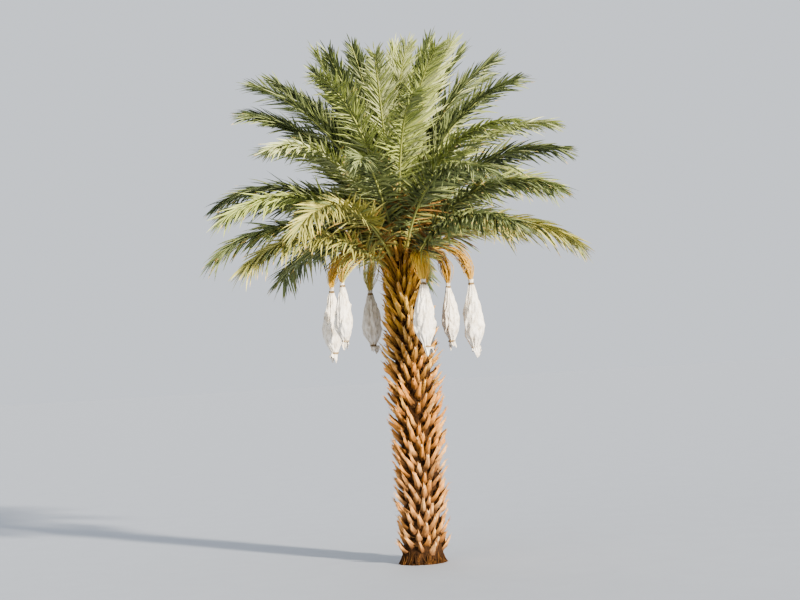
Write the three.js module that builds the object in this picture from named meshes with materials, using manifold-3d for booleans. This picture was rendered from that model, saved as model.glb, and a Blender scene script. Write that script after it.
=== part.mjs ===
// A date palm: a trunk clad in cut leaf bases, a crown of arching feather fronds, and bunches of
// fruit that hang under the crown in white cloth bags.
// Units are millimetres, +Z is up, -Y is the side that faces the viewer, and the origin is the
// centre of the trunk's flat cut at ground level.
//
// Every leaf of the palm, living or cut, sits on one spiral that climbs the trunk by a golden turn
// at a time. Leaf 0 is the oldest living frond. Leaves below 0 are the cut bases on the trunk, and
// the highest numbers are the young upright fronds in the heart of the crown.
import * as THREE from "three";
import { mergeVertices } from "three/addons/utils/BufferGeometryUtils.js";
import Module from "manifold-3d";

const wasm = await Module();
wasm.setup();

const UP = new THREE.Vector3(0, 0, 1);
const GOLDEN_TURN = Math.PI * (3 - Math.sqrt(5));
const rad = THREE.MathUtils.degToRad;
const mix = THREE.MathUtils.lerp;

const CLEARANCE = 0.3; // between sub-parts that touch
const LEAFLET_GAP = 3; // least gap from a leaflet to anything that it isn't joined to
const RIB_JOINT = 0.3; // at most this much of a leaflet runs into its own rib
const SIDE_JOINT = 0.2; // and this much into the leaflets beside it

const TRUNK = {
  crownFoot: 3500, // height of the oldest living frond's seat
  head: 560, // length of the head above it, which carries the fronds
  footLean: rad(2.6), // the trunk leaves the ground leaning to +X
  bow: 1.65e-5, // and bends back towards -X by this much per square millimetre of height
  sides: 12,
  // The core under the leaf bases: height above the ground, radius
  core: [
    [0, 285],
    [110, 258],
    [300, 232],
    [1300, 224],
    [2200, 230],
    [2700, 206],
    [3500, 166],
  ],
  // The head: height above the crown's foot, radius
  headCore: [
    [0, 166],
    [240, 157],
    [430, 128],
    [560, 92],
  ],
};

const BOOT = {
  count: 222, // cut leaf bases
  lowest: 115, // height of the first root
  sunk: 35, // how far a root lies inside the core
  // Share of the way up the trunk, length
  length: [
    [0, 200],
    [0.6, 260],
    [0.8, 260],
    [1, 215],
  ],
  // Share of the way up the trunk, angle from the upright
  tilt: [
    [0, rad(36)],
    [0.6, rad(45)],
    [1, rad(38)],
  ],
  rootWidth: [94, 76], // at the foot, and just under the crown
  rootDepth: 46,
  cutWidth: 38,
  cutDepth: 24,
};

const FROND = {
  count: 56,
  inHeart: 14, // the youngest, which share one base
  pruned: [5], // cut away so that its bunch could be reached
  seatStep: 13, // climb of the spiral from one living frond to the next
  firstAzimuth: rad(-53.8),
  // Youth, from 0 for the oldest to 1 for the youngest, and a frond's angle above level at its seat
  rise: [
    [0, rad(50)],
    [0.35, rad(64)],
    [0.5, rad(69)],
    [0.7, rad(71)],
    [0.85, rad(75)],
    [1, rad(86)],
  ],
  // Youth, how far it has bent down by its tip
  bend: [
    [0, rad(88)],
    [0.35, rad(88)],
    [0.5, rad(70)],
    [0.62, rad(52)],
    [0.76, rad(32)],
    [1, rad(12)],
  ],
  // Youth, how late it bends
  bendPower: [
    [0, 0.9],
    [0.35, 1.3],
    [0.5, 1.7],
    [0.62, 1.8],
    [1, 1.3],
  ],
  // Youth, length
  length: [
    [0, 2420],
    [0.35, 2620],
    [0.62, 2720],
    [0.8, 2500],
    [1, 2070],
  ],
  sunk: 42, // how far a seat lies inside the head before it's cut clear
  leaflets: 14, // a side
  bareStalk: 0.13, // share of the length with no leaflets
  lastLeaflet: 0.965,
  leaflet: 530, // length of the longest
  spread: [rad(58), rad(33)], // leaflet to rib, at the stalk's end and near the tip
  ranks: [rad(24), rad(8)], // leaflets stand in two ranks above the rib's own plane
  droop: 0.24, // how far the oldest frond's leaflets hang
};

const HEART = { radius: [60, 28], height: 380, sides: 8, seatStep: 17 };

const BUNCH = {
  leaves: [0, 1, 2, 3, 4, 6, 7], // the leaves in whose axils the bunches grew
  // A stalk's seat from its frond's seat: in leaves up the spiral, and round the head
  seatAbove: 6,
  seatBeside: rad(-6.2),
  hangBeside: (GOLDEN_TURN * 5 - 4 * Math.PI) / 2, // half the angle to the frond five leaves on
  reach: [640, 930], // of the hanging bag from the crown's axis
  neckHeight: [3380, 3480], // of the bag's tied top
  stalkWidth: 40,
  stalkDepth: 22,
  stalkRise: rad(56), // above level where it leaves the head
  stalkArch: 270, // height of the curve's last control point over the stalk's seat
  stalkSteps: 9,
  bagLength: [740, 900],
  bagRadius: [108, 145],
  bagSides: 8,
  // Outline of a bag: share of its length from the top, share of its full radius
  outline: [
    [0, 0.17],
    [0.1, 0.38],
    [0.32, 0.8],
    [0.58, 1],
    [0.74, 0.84],
    [0.86, 0.4],
    [0.9, 0.25],
    [1, 0.46],
  ],
};

const matt = (color, roughness) =>
  new THREE.MeshStandardMaterial({ color, roughness, metalness: 0, flatShading: true });
const MATERIALS = {
  bark: matt(0xa87d4f, 0.95),
  leaf: matt(0x8a9467, 0.7),
  youngLeaf: matt(0x9ba763, 0.65),
  stalk: matt(0xc79a45, 0.6),
  bagCloth: matt(0xf1ede6, 0.85),
};

// A repeatable number from -1 to 1 for leaf i. Each key gives another row of them.
function vary(i, key) {
  const x = Math.sin((i + 400) * 12.9898 + key * 78.233) * 43758.5453;
  return 2 * (x - Math.floor(x)) - 1;
}

// A value between the two of a pair, picked by a number from -1 to 1.
const within = ([low, high], pick) => mix(low, high, (pick + 1) / 2);

// The value at x of a table of [x, value] rows.
function along(table, x) {
  const n = table.findIndex(([at]) => at >= x);
  if (n < 0) return table.at(-1)[1];
  if (n === 0) return table[0][1];
  const [[x0, y0], [x1, y1]] = [table[n - 1], table[n]];
  return mix(y0, y1, (x - x0) / (x1 - x0));
}

// The level direction at an azimuth, and the one a quarter turn on from it.
const outward = (azimuth) => new THREE.Vector3(Math.cos(azimuth), Math.sin(azimuth), 0);
const sideways = (azimuth) => new THREE.Vector3(-Math.sin(azimuth), Math.cos(azimuth), 0);

// The sum of vectors, each with its multiple before it: blend(2, a, 3, b) is 2a + 3b.
function blend(...terms) {
  const result = new THREE.Vector3();
  for (let k = 0; k < terms.length; k += 2) result.addScaledVector(terms[k + 1], terms[k]);
  return result;
}

// A point moved by multiples of vectors.
const moved = (point, ...terms) => blend(...terms).add(point);

const placed = (points, matrix) => points.map((p) => p.clone().applyMatrix4(matrix));

// Solids

function geometryOf(points, faces) {
  const geometry = new THREE.BufferGeometry().setFromPoints(points);
  return geometry.setIndex(faces.flat());
}

// The faces of a closed skin through rings of n points, wound so that they face out. A side that
// peaks names, by its ring and its place in the ring, gets four faces up to that point.
function skinFaces(n, rings, peaks = new Map()) {
  const last = (rings - 1) * n;
  const faces = [];
  for (let r = 0; r < rings - 1; r++)
    for (let k = 0; k < n; k++) {
      const a = r * n + k;
      const b = r * n + ((k + 1) % n);
      const peak = peaks.get(`${r},${k}`);
      if (peak === undefined) faces.push([a, b, b + n], [a, b + n, a + n]);
      else faces.push([a, b, peak], [b, b + n, peak], [b + n, a + n, peak], [a + n, a, peak]);
    }
  for (let k = 1; k + 1 < n; k++) faces.push([0, k + 1, k], [last, last + k, last + k + 1]);
  return faces;
}

const skin = (rings) => geometryOf(rings.flat(), skinFaces(rings[0].length, rings.length));

// A level ring of points round a centre.
function roundRing(centre, radius, sides) {
  return Array.from({ length: sides }, (_, k) =>
    moved(centre, radius, outward((2 * Math.PI * k) / sides)),
  );
}

function toSolid(geometry) {
  const bare = geometry.clone();
  bare.deleteAttribute("normal").deleteAttribute("uv");
  const merged = mergeVertices(bare);
  return new wasm.Manifold(
    new wasm.Mesh({
      numProp: 3,
      vertProperties: merged.attributes.position.array,
      triVerts: new Uint32Array(merged.index.array),
    }),
  );
}

function fromSolid(solid) {
  const { vertProperties, triVerts } = solid.getMesh();
  const geometry = new THREE.BufferGeometry();
  geometry.setAttribute("position", new THREE.BufferAttribute(vertProperties, 3));
  return geometry.setIndex(new THREE.BufferAttribute(triVerts, 1));
}

// The joined shell, without the small hollows that the pieces close off between them.
function join(geometries) {
  const shells = geometries.map(toSolid).reduce((a, b) => a.add(b)).decompose();
  return fromSolid(shells.reduce((a, b) => (a.numTri() > b.numTri() ? a : b)));
}
const cut = (geometry, tool) => fromSolid(toSolid(geometry).subtract(toSolid(tool)));

// Pieces that mustn't run into each other

// The convex hull of two rings, with the directions that a test for a gap has to try.
function pieceOf(ringA, ringB) {
  const way = (from, to) => new THREE.Vector3().subVectors(to, from).normalize();
  const at = (ring, k) => ring[k % ring.length];
  const edges = [];
  const normals = [];
  for (let k = 0; k < Math.max(ringA.length, ringB.length); k++) {
    const here = [way(at(ringA, k), at(ringB, k))];
    for (const ring of [ringA, ringB])
      if (ring.length > 1) here.push(way(at(ring, k), at(ring, k + 1)));
    normals.push(here[0].clone().cross(here[1]));
    edges.push(...here);
  }
  for (const ring of [ringA, ringB])
    if (ring.length > 2) normals.push(way(ring[0], ring[1]).cross(way(ring[0], ring[2])));
  const points = [...ringA, ...ringB];
  return { points, edges, normals, box: new THREE.Box3().setFromPoints(points) };
}

const piecesOf = (rings) => rings.slice(1).map((ring, k) => pieceOf(rings[k], ring));

function spanOn(axis, points) {
  const places = points.map((p) => p.dot(axis));
  return [Math.min(...places), Math.max(...places)];
}

// True if some plane keeps the two pieces apart by the gap.
function isApart(p, q, gap) {
  if (!p.box.clone().expandByScalar(gap).intersectsBox(q.box)) return true;
  const crossed = p.edges.flatMap((e) => q.edges.map((f) => e.clone().cross(f)));
  return [...p.normals, ...q.normals, ...crossed].some((axis) => {
    const length = axis.length();
    if (length < 1e-6) return false;
    const [pLow, pHigh] = spanOn(axis, p.points);
    const [qLow, qHigh] = spanOn(axis, q.points);
    return Math.max(pLow - qHigh, qLow - pHigh) > gap * length;
  });
}

// Frames

const palm = new THREE.Group();

// The trunk's axis leans one way at the foot and curves back above.
const axisPoint = (z) => new THREE.Vector3(Math.tan(TRUNK.footLean) * z - TRUNK.bow * z * z, 0, z);

// The crown stands on the trunk's axis and leans with its upper end.
const crown = new THREE.Group();
crown.position.copy(axisPoint(TRUNK.crownFoot));
crown.rotation.y = Math.atan(Math.tan(TRUNK.footLean) - 2 * TRUNK.bow * TRUNK.crownFoot);
palm.add(crown);
palm.updateMatrixWorld(true);

function addMesh(parent, name, geometry, material, position, azimuth = 0) {
  const mesh = new THREE.Mesh(geometry, material);
  mesh.name = name;
  mesh.position.copy(position);
  mesh.rotation.z = azimuth;
  parent.add(mesh);
}

const placeOf = (position, azimuth) =>
  new THREE.Matrix4().makeRotationZ(azimuth).setPosition(position);

// Trunk

// The core's rings from the ground to the head's tip, made larger all round by a margin.
function coreRings(margin) {
  const stem = TRUNK.core.map(([z, radius]) =>
    roundRing(axisPoint(z), radius + margin, TRUNK.sides),
  );
  const head = TRUNK.headCore.slice(1).map(([height, radius], k, rows) => {
    const isTip = k === rows.length - 1;
    const centre = blend(height + (isTip ? margin : 0), UP);
    return placed(roundRing(centre, radius + margin, TRUNK.sides), crown.matrix);
  });
  return [...stem, ...head];
}

// Corners of a leaf's stalk: a flat side towards the crown's heart and a keel away from it.
const stalkSection = (point, side, face, width, depth) => [
  moved(point, width / 2, side),
  moved(point, -width / 2, side),
  moved(point, -depth, face),
];

// The two end sections of a cut leaf base. Most are numbered from -1 down, under the living leaves.
function bootRings(i) {
  const share = 1 + i / BOOT.count; // 0 at the foot, 1 under the crown
  const z = mix(BOOT.lowest, TRUNK.crownFoot, share);
  const azimuth = FROND.firstAzimuth + i * GOLDEN_TURN + rad(4) * vary(i, 1);
  const tilt = along(BOOT.tilt, share) + rad(5) * vary(i, 2);
  const length = along(BOOT.length, share) * (1 + 0.14 * vary(i, 3));
  const out = outward(azimuth);
  const way = blend(Math.cos(tilt), UP, Math.sin(tilt), out);
  const face = blend(Math.sin(tilt), UP, -Math.cos(tilt), out);
  const root = moved(axisPoint(z), along(TRUNK.core, z) - BOOT.sunk, out);
  const section = (point, ...size) => stalkSection(point, sideways(azimuth), face, ...size);
  return [
    section(root, mix(...BOOT.rootWidth, share), BOOT.rootDepth),
    section(moved(root, length, way), BOOT.cutWidth, BOOT.cutDepth),
  ];
}

const cutLeaves = [...Array.from({ length: BOOT.count }, (_, k) => k - BOOT.count), ...FROND.pruned];
const boots = cutLeaves.map(bootRings);

// Cuts a piece whose own frame has the given place in the palm so that it lies clear of the core.
const clearanceTool = skin(coreRings(CLEARANCE));
const cutClear = (geometry, place) =>
  cut(geometry, clearanceTool.clone().applyMatrix4(place.clone().invert()));

// Fronds

const isInHeart = (i) => i >= FROND.count - FROND.inHeart;
const living = Array.from({ length: FROND.count }, (_, i) => i).filter(
  (i) => !FROND.pruned.includes(i),
);

// Where a frond starts, in the crown's frame: inside the head, or inside the heart's base.
function seatOf(i, azimuth) {
  const rank = i - (FROND.count - FROND.inHeart);
  const height = isInHeart(i) ? TRUNK.head + HEART.seatStep * (rank + 1) : FROND.seatStep * i;
  const radius = isInHeart(i)
    ? mix(...HEART.radius, (height - TRUNK.head) / HEART.height) / 2
    : along(TRUNK.headCore, height) - FROND.sunk;
  return blend(height, UP, radius, outward(azimuth));
}

// How frond i grows. youth runs from 0 for the oldest to 1 for the youngest.
function frondPlan(i) {
  const youth = i / (FROND.count - 1);
  const azimuth = FROND.firstAzimuth + i * GOLDEN_TURN + rad(2.5) * vary(i, 4);
  return {
    youth,
    azimuth,
    seat: seatOf(i, azimuth),
    rise: along(FROND.rise, youth) + rad(2.5) * vary(i, 5),
    bend: along(FROND.bend, youth) + rad(9) * vary(i, 6),
    bendPower: along(FROND.bendPower, youth),
    length: along(FROND.length, youth) + 90 * vary(i, 7),
    swing: rad(12) * vary(i, 8), // sideways curve by the tip
    roll: rad(16) * vary(i, 9), // twist by the tip
  };
}

// A frond's rib in its own frame, where it starts at the origin and heads along +X. The result
// gives the rib's point and directions at a share of its length: way is along it, side across
// the leaf, and face towards the leaf's upper side.
const RIB_STEPS = 60;
function ribOf({ rise, bend, bendPower, length, swing, roll }) {
  const heading = (share) => swing * share ** 2;
  const slope = (share) => rise - bend * share ** bendPower;
  const wayAt = (share) =>
    blend(Math.cos(slope(share)), outward(heading(share)), Math.sin(slope(share)), UP);
  const points = [new THREE.Vector3()];
  for (let n = 0; n < RIB_STEPS; n++)
    points.push(moved(points[n], length / RIB_STEPS, wayAt((n + 0.5) / RIB_STEPS)));
  return (share) => {
    const n = Math.min(Math.floor(share * RIB_STEPS), RIB_STEPS - 1);
    const way = wayAt(share);
    const level = sideways(heading(share));
    const upper = way.clone().cross(level);
    const turn = roll * share;
    return {
      point: points[n].clone().lerp(points[n + 1], share * RIB_STEPS - n),
      way,
      side: blend(Math.cos(turn), level, Math.sin(turn), upper),
      face: blend(-Math.sin(turn), level, Math.cos(turn), upper),
    };
  };
}

// The stalk is broad where it clasps the head and narrows to a thin rib.
const ribWidth = (share) => 30 * (1 - share) + 8 + 60 * Math.exp(-share / 0.03);
const ribDepth = (share) => 20 * (1 - share) + 6 + 16 * Math.exp(-share / 0.05);

// Shares of the length at which the rib has a section. Leaflets stand between the last ones.
const stalkShares = [0, 0.035, 0.085];
const leafletShares = Array.from({ length: FROND.leaflets + 1 }, (_, k) =>
  mix(FROND.bareStalk, FROND.lastLeaflet, k / FROND.leaflets),
);

// Short at the stalk, longest a third of the way up, and shorter again near the tip.
const leafletLength = (u) => FROND.leaflet * (1 - 0.42 * u ** 2) * (1 - 0.5 * (1 - u) ** 6);

// The tip of leaflet k on one side (1 or -1) of the rib, in the frond's frame. The leaflet can be
// raised by an angle and shortened to a share of its length.
function leafletTip({ plan, rib }, k, hand, raise, shortened) {
  const u = (k + 0.5) / FROND.leaflets;
  const { point, way, side, face } = rib((leafletShares[k] + leafletShares[k + 1]) / 2);
  const closed = mix(1, 0.72, plan.youth); // young fronds haven't opened all the way
  const spread = mix(...FROND.spread, u) * closed;
  const rank = FROND.ranks[(k + (hand > 0 ? 0 : 1)) % 2] + raise;
  const across = blend(hand * Math.cos(rank), side, Math.sin(rank), face);
  const sag = -FROND.droop * (1 - plan.youth);
  const reach = blend(Math.cos(spread), way, Math.sin(spread), across, sag, UP).normalize();
  return moved(point, leafletLength(u) * shortened, reach);
}

const fronds = living.map((i) => {
  const plan = frondPlan(i);
  const rib = ribOf(plan);
  const rings = [...stalkShares, ...leafletShares].map((share) => {
    const { point, side, face } = rib(share);
    return stalkSection(point, side, face, ribWidth(share), ribDepth(share));
  });
  const place = crown.matrix.clone().multiply(placeOf(plan.seat, plan.azimuth));
  return { i, plan, rib, rings, place, leaflets: [] };
});

// The place in a section of the corner where a side of the rib starts: 1 is left, -1 is right.
const sideStart = (hand) => (hand > 0 ? 2 : 1);

// Gives each frond its leaflets. One that would touch another sub-part, or a leaflet further
// along its own frond, bends away or comes shorter, and is left out if nothing clears it.
function growLeaflets(obstacles) {
  const taken = obstacles.map((piece) => ({ piece }));
  for (const frond of fronds)
    for (const piece of piecesOf(frond.rings.map((ring) => placed(ring, frond.place))))
      taken.push({ piece, frond, k: "rib" });
  const tries = [1, 0.8, 0.6].flatMap((shortened) =>
    [0, rad(8), rad(-8), rad(16), rad(-16)].map((raise) => [raise, shortened]),
  );
  const gapTo = (other, frond, k) => {
    if (other.frond !== frond) return LEAFLET_GAP;
    if (other.k === "rib") return -RIB_JOINT;
    return Math.abs(other.k - k) <= 1 ? -SIDE_JOINT : LEAFLET_GAP;
  };
  for (let k = FROND.leaflets - 1; k >= 0; k--)
    for (const frond of fronds)
      for (const hand of [1, -1]) {
        const [low, high] = frond.rings.slice(stalkShares.length + k);
        const [a, b] = [sideStart(hand), (sideStart(hand) + 1) % 3];
        const foot = placed([low[a], low[b], high[b], high[a]], frond.place);
        for (const [raise, shortened] of tries) {
          const tip = leafletTip(frond, k, hand, raise, shortened);
          const piece = pieceOf(foot, placed([tip], frond.place));
          const touches = (other) => !isApart(piece, other.piece, gapTo(other, frond, k));
          if (taken.some(touches)) continue;
          taken.push({ piece, frond, k });
          frond.leaflets.push({ tip, k, hand });
          break;
        }
      }
}

function frondGeometry({ rings, leaflets, rib }) {
  const points = rings.flat();
  const peaks = new Map();
  for (const { tip, k, hand } of leaflets) {
    peaks.set(`${stalkShares.length + k},${sideStart(hand)}`, points.length);
    points.push(tip);
  }
  // The last section is drawn out into the end leaflet, in place of the cap.
  const faces = skinFaces(3, rings.length, peaks).slice(0, -1);
  const last = (rings.length - 1) * 3;
  for (let k = 0; k < 3; k++) faces.push([last + k, last + ((k + 1) % 3), points.length]);
  const end = rib(1);
  points.push(moved(end.point, leafletLength(1) / 2, end.way));
  return geometryOf(points, faces);
}

// The young fronds share a tapering base that stands on the head's tip, where its frame starts.
const heartFoot = blend(TRUNK.head + CLEARANCE, UP);
function heartGeometry() {
  const fromPalm = crown.matrix.clone().multiply(placeOf(heartFoot, 0)).invert();
  const [bottom, top] = HEART.radius;
  const base = new THREE.CylinderGeometry(top, bottom, HEART.height, HEART.sides)
    .rotateX(Math.PI / 2)
    .translate(0, 0, HEART.height / 2);
  const young = fronds
    .filter(({ i }) => isInHeart(i))
    .map((frond) => frondGeometry(frond).applyMatrix4(fromPalm.clone().multiply(frond.place)));
  return join([base, ...young]);
}

// Fruit bunches

// A bunch has its own upright frame at the crown's foot, turned to where the bag hangs.
function bunchPlan(leaf) {
  const seatAzimuth = FROND.firstAzimuth + leaf * GOLDEN_TURN + BUNCH.seatBeside;
  const azimuth = FROND.firstAzimuth + leaf * GOLDEN_TURN + BUNCH.hangBeside;
  const height = FROND.seatStep * (leaf + BUNCH.seatAbove);
  const radius = along(TRUNK.headCore, height) - FROND.sunk;
  const place = placeOf(crown.position, azimuth);
  const fromCrown = place.clone().invert().multiply(crown.matrix);
  const reach = within(BUNCH.reach, vary(leaf, 277));
  const drop = TRUNK.crownFoot - within(BUNCH.neckHeight, vary(leaf, 11));
  return {
    leaf,
    azimuth,
    place,
    seat: blend(height, UP, radius, outward(seatAzimuth)).applyMatrix4(fromCrown),
    neck: new THREE.Vector3(reach, 0, -drop),
    length: within(BUNCH.bagLength, vary(leaf, 12)),
    radius: within(BUNCH.bagRadius, vary(leaf, 13)),
    seatTurn: seatAzimuth - azimuth,
  };
}

// The stalk arches out of the head and ends pointing straight down at the bag's neck.
function stalkRings({ seat, neck, seatTurn }) {
  const end = moved(neck, CLEARANCE, UP);
  const out = (end.x - seat.x) / 3;
  const curve = new THREE.CubicBezierCurve3(
    seat,
    moved(seat, out, outward(seatTurn), out * Math.tan(BUNCH.stalkRise), UP),
    new THREE.Vector3(end.x, end.y, seat.z + BUNCH.stalkArch),
    end,
  );
  const [width, depth] = [BUNCH.stalkWidth / 2, BUNCH.stalkDepth / 2];
  return Array.from({ length: BUNCH.stalkSteps + 1 }, (_, n) => {
    const point = curve.getPoint(n / BUNCH.stalkSteps);
    const way = curve.getTangent(n / BUNCH.stalkSteps);
    const side = new THREE.Vector3(0, 1, 0);
    const face = way.clone().cross(side).normalize();
    return [
      moved(point, width, side, depth, face),
      moved(point, -width, side, depth, face),
      moved(point, -width, side, -depth, face),
      moved(point, width, side, -depth, face),
    ];
  });
}

const bagProfile = ({ length, radius }) =>
  BUNCH.outline.map(([down, share]) => new THREE.Vector2(share * radius, -down * length));

// A bag turned about its own upright axis, from the middle of its flat top.
function bagGeometry(plan) {
  const rim = bagProfile(plan).reverse();
  const profile = [new THREE.Vector2(0, rim[0].y), ...rim, new THREE.Vector2(0, rim.at(-1).y)];
  return new THREE.LatheGeometry(profile, BUNCH.bagSides).rotateX(Math.PI / 2);
}

const bagRings = (plan) =>
  bagProfile(plan).map(({ x, y }) => roundRing(moved(plan.neck, y, UP), x, BUNCH.bagSides));

const bunches = BUNCH.leaves.map((leaf) => {
  const plan = bunchPlan(leaf);
  return { plan, stalk: stalkRings(plan), bag: bagRings(plan) };
});

// The scene graph

growLeaflets([
  ...piecesOf(coreRings(0)),
  ...boots.flatMap(piecesOf),
  ...bunches.flatMap(({ plan, stalk, bag }) =>
    [stalk, bag].flatMap((rings) => piecesOf(rings.map((ring) => placed(ring, plan.place)))),
  ),
]);

addMesh(palm, "trunk", join([skin(coreRings(0)), ...boots.map(skin)]), MATERIALS.bark, blend());

const spreading = fronds.filter(({ i }) => !isInHeart(i));
spreading.forEach((frond, k) => {
  const name = `frond_${String(k + 1).padStart(2, "0")}`;
  const geometry = cutClear(frondGeometry(frond), frond.place);
  addMesh(crown, name, geometry, MATERIALS.leaf, frond.plan.seat, frond.plan.azimuth);
});
addMesh(crown, "heart_fronds", heartGeometry(), MATERIALS.youngLeaf, heartFoot);

bunches.forEach(({ plan, stalk }, k) => {
  const bunch = new THREE.Group();
  bunch.position.copy(crown.position);
  bunch.rotation.z = plan.azimuth;
  palm.add(bunch);
  const clearStalk = cutClear(skin(stalk), plan.place);
  addMesh(bunch, `bunch_stalk_${k + 1}`, clearStalk, MATERIALS.stalk, blend());
  addMesh(bunch, `fruit_bag_${k + 1}`, bagGeometry(plan), MATERIALS.bagCloth, plan.neck);
});

export default palm;
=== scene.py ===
"""A date palm: a trunk clad in cut leaf bases, a crown of feather fronds and bagged fruit bunches.

Lengths are metres, +Z is up, -Y is the side that faces the viewer, and the origin is the centre of
the trunk's flat cut at ground level. The leaves grow by the rule of the solids: each sits on one
spiral that climbs the trunk by a golden turn at a time. Leaf 0 is the oldest living frond, leaves
below 0 are the cut bases on the trunk, and the highest numbers stand in the heart of the crown.
"""

import math

import bpy
import numpy as np
from mathutils import Euler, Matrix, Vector, noise


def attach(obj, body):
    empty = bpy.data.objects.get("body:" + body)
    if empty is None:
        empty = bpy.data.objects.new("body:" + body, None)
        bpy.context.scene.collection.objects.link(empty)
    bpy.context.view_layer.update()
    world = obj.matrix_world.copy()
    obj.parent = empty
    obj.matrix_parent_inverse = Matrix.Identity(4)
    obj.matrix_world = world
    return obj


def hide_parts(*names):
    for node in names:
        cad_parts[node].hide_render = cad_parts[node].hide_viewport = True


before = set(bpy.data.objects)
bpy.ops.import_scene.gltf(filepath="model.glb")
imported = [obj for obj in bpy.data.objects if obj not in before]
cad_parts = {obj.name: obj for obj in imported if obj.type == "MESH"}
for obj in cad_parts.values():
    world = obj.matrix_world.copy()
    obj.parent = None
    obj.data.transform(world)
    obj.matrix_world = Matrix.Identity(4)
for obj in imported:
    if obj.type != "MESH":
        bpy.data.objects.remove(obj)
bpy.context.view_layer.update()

UP = np.array([0.0, 0.0, 1.0])
ACROSS = np.array([0.0, 1.0, 0.0])  # the broad way of a fruit stalk
GOLDEN_TURN = math.pi * (3 - math.sqrt(5))
rad = math.radians
scene = bpy.context.scene
draws = np.random.default_rng(5)
uniform = draws.uniform

# Sizes and rules that the solids share

CROWN_FOOT = 3.5
HEAD = 0.56
FOOT_LEAN = rad(2.6)
BOW = 0.0165
CORE = [(0, 0.285), (0.11, 0.258), (0.3, 0.232), (1.3, 0.224), (2.2, 0.23), (2.7, 0.206), (3.5, 0.166)]
HEAD_CORE = [(0, 0.166), (0.24, 0.157), (0.43, 0.128), (0.56, 0.092)]

LOWEST_BOOT = 0.115
BOOT_SUNK = 0.035
BOOT_LENGTH = [(0, 0.200), (0.6, 0.260), (0.8, 0.260), (1, 0.215)]
BOOT_TILT = [(0, rad(36)), (0.6, rad(45)), (1, rad(38))]
BOOT_ROOT = (0.094, 0.076)
BOOT_CUT = 0.038
BOOT_DEPTH = (0.046, 0.024)

FRONDS = 56
IN_HEART = 14
PRUNED = 5
SEAT_STEP = 0.013
FIRST_AZIMUTH = rad(-53.8)
RISE = [(0, rad(50)), (0.35, rad(64)), (0.5, rad(69)), (0.7, rad(71)), (0.85, rad(75)), (1, rad(86))]
BEND = [(0, rad(88)), (0.35, rad(88)), (0.5, rad(70)), (0.62, rad(52)), (0.76, rad(32)), (1, rad(12))]
BEND_POWER = [(0, 0.9), (0.35, 1.3), (0.5, 1.7), (0.62, 1.8), (1, 1.3)]
FROND_LENGTH = [(0, 2.42), (0.35, 2.62), (0.62, 2.72), (0.8, 2.5), (1, 2.07)]
FROND_SUNK = 0.042
BARE_STALK = 0.13
LAST_LEAFLET = 0.965
LEAFLET = 0.53
SPREAD = (rad(58), rad(33))
DROOP = 0.24
RIB_STEPS = 60

HEART_RADIUS = (0.060, 0.028)
HEART_HEIGHT = 0.38
HEART_SEAT_STEP = 0.017

BUNCH_LEAVES = (0, 1, 2, 3, 4, 6, 7)
SEAT_ABOVE = 6
SEAT_BESIDE = rad(-6.2)
HANG_BESIDE = (GOLDEN_TURN * 5 - 4 * math.pi) / 2
BUNCH_REACH = (0.64, 0.93)
NECK_HEIGHT = (3.38, 3.48)
STALK_SIZE = (0.040, 0.022)
STALK_RISE = rad(56)
STALK_ARCH = 0.27
BAG_LENGTH = (0.74, 0.90)
BAG_RADIUS = (0.108, 0.145)
# Outline of a bag: share of its length from the top, share of its full radius
BAG_BODY = [(0, 0.17), (0.1, 0.38), (0.32, 0.8), (0.58, 1), (0.74, 0.84)]
BAG_OUTLINE = BAG_BODY + [(0.86, 0.4), (0.9, 0.25), (1, 0.46)]

# Finer counts, for the scene alone

BOOTS = 400
SPLINTERS = 5  # at each boot's cut
SHEATHS = 240
BROAD_SHEATHS = 44  # the first of them are broad, long blades
STEM_FIBRES = 4000
HEAD_FIBRES = 900
ROOTS = 280
LEAFLETS = 168  # a side of a frond
RANKS = np.radians([50, 12, -18, 30])  # the solids' two ranks, drawn out to four
WITHERED_AND_SHADED_TO = 0.22  # share of the leaflets, from the lowest, that may have dried and whose browns also paint shade in the crown's middle
TONE_KEY = 3774  # the key of vary that deals the tones out to the fronds
SPINES = 8  # a side of a leaf's stalk
SPINE_RADIUS = 0.0042  # also that of the boots' splinters
STRANDS = 64  # fruit strands of a bunch that show above its bag
BAG_ROWS = 104
BAG_COLS = 90
TIE_AT = 0.03  # share of the bag's length at which it is tied
HEM_TIE = 0.9


def mix(a, b, share):
    return a + (b - a) * share


def within(pair, pick):
    return mix(pair[0], pair[1], (pick + 1) / 2)


def vary(i, key):
    """A repeatable number from -1 to 1 for leaf i. Each key gives another row of them."""
    x = math.sin((i + 400) * 12.9898 + key * 78.233) * 43758.5453
    return 2 * (x - math.floor(x)) - 1


def along(table, x):
    return np.interp(x, [row[0] for row in table], [row[1] for row in table])


def triple(x, y, z):
    """Three numbers or arrays, put together into vectors."""
    return np.stack(np.broadcast_arrays(x, y, z), axis=-1)


def outward(azimuth):
    return triple(np.cos(azimuth), np.sin(azimuth), 0)


def sideways(azimuth):
    return triple(-np.sin(azimuth), np.cos(azimuth), 0)


def unit(vectors):
    return vectors / np.linalg.norm(vectors, axis=-1, keepdims=True)


def col(values):
    """Numbers as a column, ready to multiply a row of vectors."""
    return np.asarray(values, dtype=float)[..., None]


def either(*size):
    """Random numbers from -1 to 1."""
    return uniform(-1, 1, size)


def turns(count):
    """The angles of equal steps once round."""
    return 2 * math.pi * np.arange(count) / count


def round_ring(count, a, b):
    """Directions once round in the plane of a and b, for each row of them."""
    turn = turns(count)
    return np.cos(turn)[:, None] * a[..., None, :] + np.sin(turn)[:, None] * b[..., None, :]


def mirrored(half):
    """The other half of a section that is the same on both sides."""
    return [(-across, deep) for across, deep in reversed(half)]


def spin(azimuth):
    c, s = math.cos(azimuth), math.sin(azimuth)
    return np.array([[c, -s, 0], [s, c, 0], [0, 0, 1]])


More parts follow.
